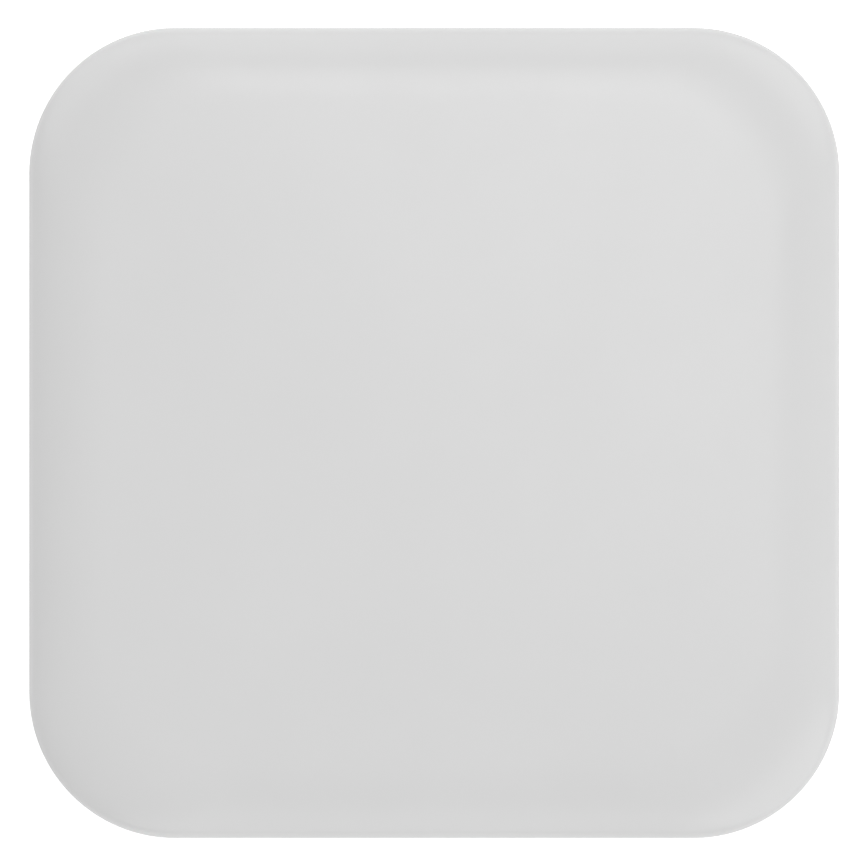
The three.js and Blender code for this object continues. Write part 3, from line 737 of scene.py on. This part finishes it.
# ---- the coil module

COIL_EXIT = 135  # degrees, the direction in which the coil's leads leave
SENSOR_EXIT = 60
COIL_Z = mm(7.2)
COIL_TURNS = 10
COIL_PITCH = mm(1.12)
COIL_INNER = mm(10.9)
WIRE_RADIUS = mm(0.5)
FERRITE_LOW, FERRITE_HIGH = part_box("ferrite_plate")
CARRIER_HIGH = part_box("coil_carrier")[1]


def polar(radius, degrees, z):
    """A point from a radius and height in millimetres and a direction in degrees."""
    return around(mm(radius), math.radians(degrees), mm(z))


def smooth_line(points, spacing):
    """Points about evenly spaced on a centripetal Catmull-Rom curve through the given ones."""
    ends = [2 * points[0] - points[1], *points, 2 * points[-1] - points[-2]]
    line = []
    for i in range(1, len(ends) - 2):
        a, b, c, d = ends[i - 1:i + 3]
        t1 = (b - a).length ** 0.5
        t2 = t1 + (c - b).length ** 0.5
        t3 = t2 + (d - c).length ** 0.5
        steps = max(1, round((c - b).length / spacing))
        for step in range(steps):
            t = t1 + (t2 - t1) * step / steps
            ab = a.lerp(b, t / t1)
            bc = b.lerp(c, (t - t1) / (t2 - t1))
            cd = c.lerp(d, (t - t2) / (t3 - t2))
            near, far = ab.lerp(bc, t / t2), bc.lerp(cd, (t - t1) / (t3 - t1))
            line.append(near.lerp(far, (t - t1) / (t2 - t1)))
    return [*line, points[-1]]


def sweep(line, section):
    """A closed solid along a line. section(distance) gives the outline there as (side, up) pairs."""
    last = len(line) - 1
    tangents = [(line[min(i + 1, last)] - line[max(i - 1, 0)]).normalized() for i in range(last + 1)]
    up = Vector((0, 0, 1))
    up = (up - up.project(tangents[0])).normalized()
    rings, distance = [], 0
    for i, point in enumerate(line):
        if i:
            up.rotate(tangents[i - 1].rotation_difference(tangents[i]))
            distance += (point - line[i - 1]).length
        side = tangents[i].cross(up)
        rings.append([point + side * u + up * v for u, v in section(distance)])
    return loft(rings)


def round_section(radius, side):
    """A circle that lies to one side of the line all along it."""
    outline = [(side + radius * math.cos(angle), radius * math.sin(angle)) for angle in full_turn(12)]
    return lambda distance: outline


def litz_section(distance):
    """Seven bundles of strands, twisted one turn in nine millimetres."""
    bundles, steps, lay, groove = 7, 21, mm(9), 0.13
    outline = []
    for angle in full_turn(steps):
        lobe = abs(math.sin(bundles / 2 * (angle - distance / lay * 2 * math.pi)))
        radius = WIRE_RADIUS * (1 - groove * (1 - lobe))
        outline.append((radius * math.cos(angle), radius * math.sin(angle)))
    return outline


def coil_line():
    """In along a slot under the coil, up inside it, ten turns outwards, and off beside the start."""
    out = COIL_EXIT
    points = [  # along the slot and up inside the coil
        polar(36.5, out + 2, 4.8), polar(33, out + 1.5, 4.85), polar(30.5, out + 0.8, 5.3),
        polar(28.6, out, 5.87), polar(26, out, 5.95), polar(13, out, 5.95), polar(10.6, out, 5.97),
        polar(8.9, out, 6.45),
        polar(7.5, out + 0.5, 7.15), polar(6.8, out + 10, 7.22), polar(7.2, out + 25, 7.2),
        polar(8.4, out + 44, 7.2), polar(9.7, out + 66, 7.2),
    ]
    steps_per_turn, join_step = 16, 4
    for step in range(join_step, COIL_TURNS * steps_per_turn - 1):
        turns = step / steps_per_turn
        easing = mm(0.5) * 0.4 ** (step - join_step)
        radius = COIL_INNER + COIL_PITCH * turns - easing
        points.append(around(radius, math.radians(out + 360 * turns), COIL_Z))
    return points + [
        polar(23.6, out - 23, 7.18), polar(25.8, out - 13, 7.12), polar(28.3, out - 8, 6.3),
        polar(30.6, out - 6.5, 5.3), polar(33, out - 6, 4.85), polar(36.5, out - 6, 4.8),
    ]


def radial_bar(width, inner, outer, low, high, degrees):
    """A bar from one radius to another, to cut a slot with. Heights are in metres."""
    bar = block((mm(inner), -mm(width) / 2, low), (mm(outer), mm(width) / 2, high))
    return moved(bar, turn=Matrix.Rotation(math.radians(degrees), 4, "Z"))


def hollow_turned(profile, steps=128):
    """A ring-like solid of revolution from a closed profile, in millimetres."""
    return loft([circle(mm(radius), mm(z), steps) for radius, z in profile], closed=True)


def make_coil_module():
    """Coil, tape, shield, tray, foam and sensor. The profiles are (radius, z) pairs in millimetres."""
    coil = sweep(smooth_line(coil_line(), mm(0.65)), litz_section)
    make_piece("litz_coil", coil, COPPER, ["transmit_coil"], 60)
    tape = [
        (10.45, 7.75), (22.55, 7.75), (22.6, 7.8), (22.6, 8), (22.55, 8.05), (10.45, 8.05), (10.4, 8),
        (10.4, 7.8),
    ]
    make_piece("tape_ring", hollow_turned(tape), TAPE, ["coil_adhesive"])

    disc = turned([(0, 5.35), (25.75, 5.35), (25.9, 5.5), (25.9, 6.4), (25.75, 6.55), (0, 6.55)], 128)
    low, high = FERRITE_LOW.z - mm(1), FERRITE_HIGH.z + mm(1)
    slots = [
        radial_bar(1.8, 5.8, 27, low, high, COIL_EXIT),
        radial_bar(1.4, 2.6, 27, low, high, SENSOR_EXIT),
    ]
    make_piece("ferrite_disc", boolean(disc, slots, "DIFFERENCE"), FERRITE, ["ferrite_plate"])

    dish = [
        (4.1, 4.5), (27.85, 4.5), (28, 4.65), (28, 7.2), (27.9, 7.3), (26.3, 7.3), (26.2, 7.2), (26.2, 5.45),
        (26.05, 5.3), (4.1, 5.3), (4, 5.2), (4, 4.6),
    ]
    floor_z, top = mm(5.3), CARRIER_HIGH.z + mm(1)
    gaps = [
        radial_bar(11, 23.2, 29, floor_z, top, COIL_EXIT - 4),
        radial_bar(4, 23.2, 29, floor_z, top, SENSOR_EXIT),
    ]
    tray = boolean(hollow_turned(dish), gaps, "DIFFERENCE")
    make_piece("coil_tray", tray, CARRIER, ["coil_carrier"])

    foam = [
        (0, 2.6), (16.8, 2.6), (17, 2.75), (16.85, 3.1), (16.8, 3.5), (16.85, 3.95), (17, 4.3), (16.8, 4.45),
        (0, 4.45),
    ]
    make_piece("foam_pad", turned(foam, 96), FOAM, ["foam_spacer"])

    bead = [
        (0, 6.66), (0.4, 6.69), (0.75, 6.85), (1, 7.1), (1.09, 7.4), (0.98, 7.7), (0.7, 7.93), (0.35, 8.03),
        (0, 8.04),
    ]
    make_piece("thermistor_bead", turned(bead, 32), EPOXY, ["thermistor"])
    route = [
        (1.15, 7.2), (2.6, 7.1), (4.6, 6.4), (7, 5.9), (24, 5.9), (27.5, 5.8), (30.5, 4.9), (33.5, 4.7),
    ]
    line = smooth_line([polar(radius, SENSOR_EXIT, z) for radius, z in route], mm(0.5))
    wires = [sweep(line, round_section(mm(0.2), side)) for side in mm(-0.2, 0.2)]
    make_piece("thermistor_wires", joined(wires), WIRE, ["thermistor_lead"], 60)


# ---- heat path and board


def cut_square(half, corner_sum, z):
    """A square with its corners cut off at 45 degrees, at height z. All in metres."""
    short = corner_sum - half
    return [quarter_turn(count) @ Vector((half, y, z)) for count in range(4) for y in (-short, short)]


def plate(half, corner_sum, low, high, edge):
    """A flat plate of that outline with its edges broken."""
    diagonal = edge * 1.2
    inner = (half - edge, corner_sum - diagonal)
    return loft([
        cut_square(*inner, low), cut_square(half, corner_sum, low + edge),
        cut_square(half, corner_sum, high - edge), cut_square(*inner, high),
    ])


def drill(x, y, radius, low, high, steps=32):
    """A cylinder to bore a hole with. Lengths are in millimetres."""
    return moved(turned([(0, low), (radius, low), (radius, high), (0, high)], steps), mm(x), mm(y))


def make_heat_path():
    low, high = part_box("heat_spreader")
    sheet = plate(mm(38), mm(62), low.z, high.z, mm(0.06))
    holes = [drill(side * PIN_X, PIN_Y, 1.2, 1, 4) for side in (-1, 1)]
    sheet = boolean(sheet, holes, "DIFFERENCE")
    make_piece("spreader_sheet", sheet, ALUMINIUM, ["heat_spreader"])
    low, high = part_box("thermal_pad")
    half = Vector(mm(7, 2.25, 0.275))
    pad = moved(block(-half, half, mm(0.12)), *(low + high) / 2, Matrix.Rotation(math.pi / 4, 4, "Z"))
    make_piece("gap_pad", pad, SILICONE, ["thermal_pad"])


BOARD_TOP = BOARD_HIGH.z
FOIL = mm(0.035)  # copper foil and pads stand this far proud of the board


def make_board():
    blank = plate(mm(46), mm(65.5), BOARD_LOW.z, BOARD_TOP, mm(0.05))
    cuts = [drill(0, 0, 29, 2, 6, 160), block((-mm(4.7), mm(41), mm(2)), (mm(4.7), mm(48), mm(6)))]
    cuts += [drill(x * 1000, y * 1000, 1, 2, 6) for x, y in BOARD_SCREWS.values()]
    make_piece("circuit_board", boolean(blank, [joined(cuts)], "DIFFERENCE"), BOARD, ["main_board"])


def ribbon(points, width):
    """A flat track along points in plan, with mitred bends. Points are in millimetres."""
    points = [Vector(mm(*point)) for point in points]
    rows = []
    for i, point in enumerate(points):
        before = (point - points[max(i - 1, 0)]).normalized() if i else (points[1] - point).normalized()
        after = (points[i + 1] - point).normalized() if i + 1 < len(points) else before
        across = (before + after).normalized().orthogonal()
        across *= mm(width) / 2 / max(0.5, across.dot(before.orthogonal()))
        low, high = BOARD_TOP - mm(0.02), BOARD_TOP + FOIL
        outline = ((1, low), (-1, low), (-1, high), (1, high))
        rows.append([Vector((*(point + across * side), z)) for side, z in outline])
    return loft(rows)


def arc_points(radius, start, end):
    """Points in plan on an arc round the pad's centre, in millimetres and degrees."""
    steps = max(2, round(abs(end - start) / 3))
    angles = [math.radians(start + (end - start) * i / steps) for i in range(steps + 1)]
    return [(radius * math.cos(a), radius * math.sin(a)) for a in angles]


def make_tracks():
    """Tracks under the mask: two rails round the window, and bundles between the main parts."""
    tracks = [ribbon(arc_points(30.6, 150, 405), 1.4), ribbon(arc_points(32.6, 165, 398), 0.8)]
    lanes, lane_pitch = 5, 0.6
    for lane in range(lanes):  # port to controller
        offset, outer = lane_pitch * lane, lane_pitch * (lanes - 1 - lane)
        y = 42.6 - offset
        route = [(6.6 + offset, 40.6), (8 + offset, y), (19 + 0.42 * outer, y), (26.4 + outer, 33.6)]
        tracks.append(ribbon(route, 0.3))
    for lane in range(4):  # controller to the bridges' drivers
        offset = lane_pitch * lane
        bend = arc_points(36.5 + offset, 62, 118)[4:-4]
        route = [(24.6, 27 + offset), (20.5 + offset / 2, 31 + offset), *bend, (-20.6, 32 + offset)]
        tracks.append(ribbon(route, 0.28))
    for lane in range(4):  # bridges to the resonance capacitors
        x, y = -40.8 - 0.7 * lane, 10 - 4.2 * lane
        tracks.append(ribbon([(x, 22), (x, y + 1), (-39.4, y)], 0.45))
    for lane in range(2):  # controller to the status light
        offset = 0.7 * lane
        edge = 45 - offset
        route = [(33, 27 - offset), (edge - 1, 22), (edge - 1, -20), (22, -edge + 2), (2 - lane, -edge + 1.5)]
        tracks.append(ribbon(route, 0.3))
    make_piece("masked_tracks", joined(tracks), TRACK, smooth_angle=20)


def make_rings():
    """Plated rings round the board's screw holes, and a row of vias beside the outer rail."""
    ring = [(1.05, 0), (2, 0), (2, 0.035), (1.05, 0.035)]
    rings = [moved(hollow_turned(ring, 48), x, y, BOARD_TOP) for x, y in BOARD_SCREWS.values()]
    vias = []
    via_count, first, apart = 44, 152, 5.7  # the last two in degrees
    for i in range(via_count):
        place = polar(34.2, first + i * apart, 0)
        via = hollow_turned([(0.16, 0), (0.32, 0), (0.32, 0.04), (0.16, 0.04)], 16)
        vias.append(moved(via, place.x, place.y, BOARD_TOP))
    make_piece("plated_rings", joined([*rings, *vias]), GOLD)


# ---- components

BODY, METAL = 0, 1  # material numbers of a component's body and of its terminals


def marked(mesh, number):
    """The mesh with all its faces given a material number."""
    for polygon in mesh.polygons:
        polygon.material_index = number
    return mesh


def solder_wedge(x, y, width, reach, height, side):
    """A concave fillet of solder against a terminal. It runs out to the right if side is 1, or left if -1."""
    steps, rings = 6, []
    for end in (-0.5, 0.5):
        ring = [Vector((0, end * width, 0))]
        for angle in quarter(steps):
            ring.append(Vector((reach * (1 - math.sin(angle)), end * width, height * (1 - math.cos(angle)))))
        rings.append(ring)
    turn = Matrix.Rotation(math.atan2(0, side), 4, "Z")
    return moved(loft(rings), x, y, BOARD_TOP, turn)


def end_fillets(low, high, width, reach, height):
    """Solder at both ends of a part that lies along X between two corners."""
    y = (low.y + high.y) / 2
    return [solder_wedge(x, y, width, reach, height, side) for x, side in ((low.x, -1), (high.x, 1))]


def end_capped(low, high, inset_low, inset_high, cap, body_bevel, cap_bevel):
    """A body between two wrapped end terminals, and inset from their sides and top."""
    body_low = low + Vector((cap / 2, *inset_low))
    body_high = high - Vector((cap / 2, *inset_high))
    left = block(low, (low.x + cap, high.y, high.z), cap_bevel)
    right = block((high.x - cap, low.y, low.z), high, cap_bevel)
    body = block(body_low, body_high, body_bevel)
    return joined([marked(body, BODY), marked(left, METAL), marked(right, METAL)])


def make_capacitor(node):
    """A ceramic capacitor: the dielectric body between two wrapped end terminals."""
    low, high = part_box(node)
    inset = mm(0.04, 0.04)
    mesh = end_capped(low, high, inset, inset, mm(0.55), mm(0.08), mm(0.12))
    make_piece(f"ceramic_{node}", mesh, [CERAMIC, TIN], [node])
    return end_fillets(low, high, (high.y - low.y) * 0.9, mm(0.55), (high.z - low.z) * 0.45)


def make_chip(node, pins):
    """A leadless chip: moulded body with a pin 1 dimple, and pads that just reach its sides, on foils."""
    low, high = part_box(node)
    centre = (low + high) / 2
    half = (high.x - low.x) / 2
    body = block(low, high, mm(0.06))
    dimple = turned([(0, -0.06), (0.28, -0.06), (0.36, 0.2), (0, 0.2)], 32)
    dimple = moved(dimple, low.x + mm(0.8), high.y - mm(0.8), high.z)
    body = marked(boolean(body, [dimple], "DIFFERENCE"), BODY)
    pads, foils = [], []
    pad_half, foil_half, pitch = mm(0.12, 0.13, 0.5)
    for side in range(4):
        turn = quarter_turn(side, 4)
        for pin in range(pins):
            y = (pin - (pins - 1) / 2) * pitch
            near = (half - mm(0.35), y - pad_half, mm(0.005) - FOIL)
            pad = block(near, (half + mm(0.02), y + pad_half, mm(0.2)), mm(0.02))
            pads.append(marked(moved(pad, centre.x, centre.y, low.z, turn), METAL))
            foil = block((half - mm(0.3), y - foil_half, 0), (half + mm(0.3), y + foil_half, FOIL))
            foils.append(moved(foil, centre.x, centre.y, BOARD_TOP, turn))
    make_piece(f"moulded_{node}", joined([body, *pads]), [EPOXY, TIN], [node])
    return foils


def make_resistor():
    """The flat shunt that measures the current."""
    low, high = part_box("sense_resistor")
    mesh = end_capped(low, high, mm(0.03, 0), mm(0.03, 0.04), mm(0.5), mm(0.04), mm(0.06))
    make_piece("shunt_resistor", mesh, [EPOXY, TIN], ["sense_resistor"])
    return end_fillets(low, high, (high.y - low.y) * 0.9, mm(0.5), (high.z - low.z) * 0.7)


def make_inductor():
    """A moulded power inductor with flat terminals wrapped under two of its sides."""
    low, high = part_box("power_inductor")
    centre = (low + high) / 2
    body = moved(plate(mm(2.94), mm(4.8), low.z, high.z, mm(0.15)), centre.x, centre.y)
    meshes = [marked(body, BODY)]
    half_thick, half_width, height = mm(0.04, 1.2, 1.3)
    for side in (-1, 1):
        x = centre.x + side * mm(2.96)
        near = (x - half_thick, centre.y - half_width, low.z)
        tab = block(near, (x + half_thick, centre.y + half_width, low.z + height), mm(0.03))
        meshes.append(marked(tab, METAL))
    make_piece("moulded_inductor", joined(meshes), [FERRITE, TIN], ["power_inductor"])
    return end_fillets(low, high, mm(2.3), mm(0.6), mm(0.7))


def make_crystal():
    """A crystal in a metal can: ceramic base with a lid welded on inside its rim."""
    low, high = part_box("crystal")
    rim = mm(0.18)
    base_top = high.z - mm(0.3)
    base = block(low, (high.x, high.y, base_top), mm(0.08))
    lid_low = (low.x + rim, low.y + rim, base_top - mm(0.1))
    lid = block(lid_low, (high.x - rim, high.y - rim, high.z), mm(0.1))
    mesh = joined([marked(base, BODY), marked(lid, METAL)])
    make_piece("crystal_can", mesh, [LED_BODY, NICKEL], ["crystal"])


def make_led():
    """A side-looking LED: a white reflector cup round a clear window that faces the front wall."""
    low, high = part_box("status_led")
    body = block(low, high, mm(0.05))
    cup_low, cup_high = low + Vector(mm(0.5, -0.2, 0.2)), high - Vector(mm(0.5, 0, 0.15))
    cup_high.y = low.y + mm(0.35)
    body = marked(boolean(body, [block(cup_low, cup_high)], "DIFFERENCE"), BODY)
    gap = mm(0.01)
    window_low = (cup_low.x + gap, low.y + mm(0.1), cup_low.z + gap)
    window = block(window_low, (cup_high.x - gap, cup_high.y - gap, cup_high.z - gap), mm(0.03))
    mesh = joined([body, marked(window, METAL)])
    make_piece("side_led", mesh, [LED_BODY, LENS], ["status_led"])
    return end_fillets(low, high, mm(0.8), mm(0.5), mm(0.4))


def make_components():
    """Everything on the board's top face, and the solder that holds it there."""
    solder = [*make_resistor(), *make_inductor()]
    make_crystal()
    solder += make_led()
    for kind, count in (("input", 2), ("resonance", 4)):
        for i in range(count):
            solder += make_capacitor(f"{kind}_capacitor_{i + 1}")
    foils = make_chip("controller_chip", 10)
    for node in ("bridge_chip_left", "bridge_chip_right"):
        foils += make_chip(node, 8)
    wing_y, wing_depth = (WING_BACK + WING_FRONT) / 2, WING_FRONT - WING_BACK
    for side in (-1, 1):
        solder.append(solder_wedge(side * WING_REACH, wing_y, wing_depth, mm(0.5), mm(0.3), side))
    for degrees in (COIL_EXIT + 2, COIL_EXIT - 6):  # the coil's ends, soldered to the board
        end = polar(36.1, degrees, 0)
        dome = turned([(1.5, 0), (1.45, 0.15), (1.2, 0.5), (0.85, 0.85), (0.4, 1.05), (0, 1.1)], 32)
        solder.append(moved(dome, end.x, end.y, BOARD_TOP))
    for turn in (-0.45, 0.45):  # the thermistor's two wires
        end = polar(33.2, SENSOR_EXIT + turn, 0)
        blob = turned([(0.36, 0), (0.34, 0.15), (0.28, 0.4), (0.15, 0.66), (0, 0.74)], 24)
        solder.append(moved(blob, end.x, end.y, BOARD_TOP))
    make_piece("solder_joints", joined([*solder, *foils]), TIN, smooth_angle=50)


make_lid()
make_base()
make_feet()
make_light_bar()
make_usb_sleeve()
make_usb_core()
make_screws()
make_coil_module()
make_heat_path()
make_board()
make_tracks()
make_rings()
make_components()

# ---- camera, floor and light

camera = placed("camera", bpy.data.cameras.new("camera"))
bpy.context.scene.camera = camera
camera.data.lens = 200
camera.data.sensor_width = 36
FRAME_SHARE = 0.933  # the pad's side as a share of the picture's
AIM = mm(-0.035, -0.129)  # the spot straight below the camera, which looks down unturned
distance = 2 * HALF / FRAME_SHARE * camera.data.lens / camera.data.sensor_width
camera.location = (*AIM, TUCK_TOP_Z + distance)
camera.data.clip_start = 0.01
camera.data.clip_end = 20

REACH = 4  # metres from the pad to each edge of the floor
floor_mesh = bpy.data.meshes.new("floor")
floor_corners = [(-REACH, -REACH, 0), (REACH, -REACH, 0), (REACH, REACH, 0), (-REACH, REACH, 0)]
floor_mesh.from_pydata(floor_corners, [], [(0, 1, 2, 3)])
placed("floor", floor_mesh)
WHITE = (1, 1, 1, 1)
floor_finish = Finish("floor", (0.9, 0.9, 0.9), 0.9, Specular_IOR_Level=0, Emission_Color=WHITE)
# The floor looks paler than the light that it throws back on the pad.
floor_seen = floor_finish.add("LightPath")
floor_glow = floor_finish.add("Math")
floor_glow.operation = "MULTIPLY_ADD"
SEEN_GLOW, FULL_GLOW = 0.3, 0.2  # what is added to the camera's rays only, and to all
floor_glow.inputs[1].default_value = SEEN_GLOW
floor_glow.inputs[2].default_value = FULL_GLOW
floor_finish.link(floor_seen.outputs["Is Camera Ray"], floor_glow.inputs[0])
floor_finish.link(floor_glow.outputs[0], floor_finish.shader.inputs["Emission Strength"])
floor_mesh.materials.append(floor_finish.material)

# The world lights the pad weakly, and looks white behind the floor.
world = bpy.data.worlds.new("world")
world.use_nodes = True
world_nodes, world_link = world.node_tree.nodes, world.node_tree.links.new
tent, backdrop = world_nodes["Background"], world_nodes.new("ShaderNodeBackground")
set_inputs(tent, {"Color": WHITE, "Strength": 0.42})
set_inputs(backdrop, {"Color": WHITE})
seen = world_nodes.new("ShaderNodeLightPath")
choice = world_nodes.new("ShaderNodeMixShader")
world_link(seen.outputs["Is Camera Ray"], choice.inputs["Fac"])
world_link(tent.outputs[0], choice.inputs[1])
world_link(backdrop.outputs[0], choice.inputs[2])
world_link(choice.outputs[0], world_nodes["World Output"].inputs["Surface"])
bpy.context.scene.world = world

OVERHEAD_SIZE = 0.5  # metres across
SIDE_SIZE = 1.2
WIDE_SIZE = 1.4
SOFTBOX_DISTANCE = 1.5


def softbox(name, azimuth, elevation, power, size=SIDE_SIZE):
    """A round light of some watts that looks at the pad. Azimuth 0 is the rear side, 90 the right."""
    data = bpy.data.lights.new(name, "AREA")
    data.shape = "DISK"
    data.size = size
    data.energy = power
    light = placed(name, data)
    a, e = math.radians(azimuth), math.radians(elevation)
    direction = Vector((math.sin(a) * math.cos(e), math.cos(a) * math.cos(e), math.sin(e)))
    light.location = direction * SOFTBOX_DISTANCE
    light.rotation_euler = direction.to_track_quat("Z", "Y").to_euler()
    light.visible_camera = False


# Five low softboxes stand round the pad, strongest at the right front and none at the left, with two above.
REAR, REAR_RIGHT, FRONT_RIGHT, FRONT, REAR_LEFT = 0, 45, 135, 180, 315
LOW = 30  # degrees above the floor
softbox("rear", REAR, LOW, 2.4)
softbox("rear_right", REAR_RIGHT, LOW, 3.5)
softbox("front_right", FRONT_RIGHT, LOW, 4.7, WIDE_SIZE)
softbox("front", FRONT, LOW, 2.8)
softbox("rear_left", REAR_LEFT, LOW, 3.2)
softbox("rear_overhead", REAR, 70, 1.25, OVERHEAD_SIZE)
softbox("overhead", REAR_RIGHT, 80, 1.3, OVERHEAD_SIZE)

bpy.context.scene.view_settings.view_transform = "Standard"
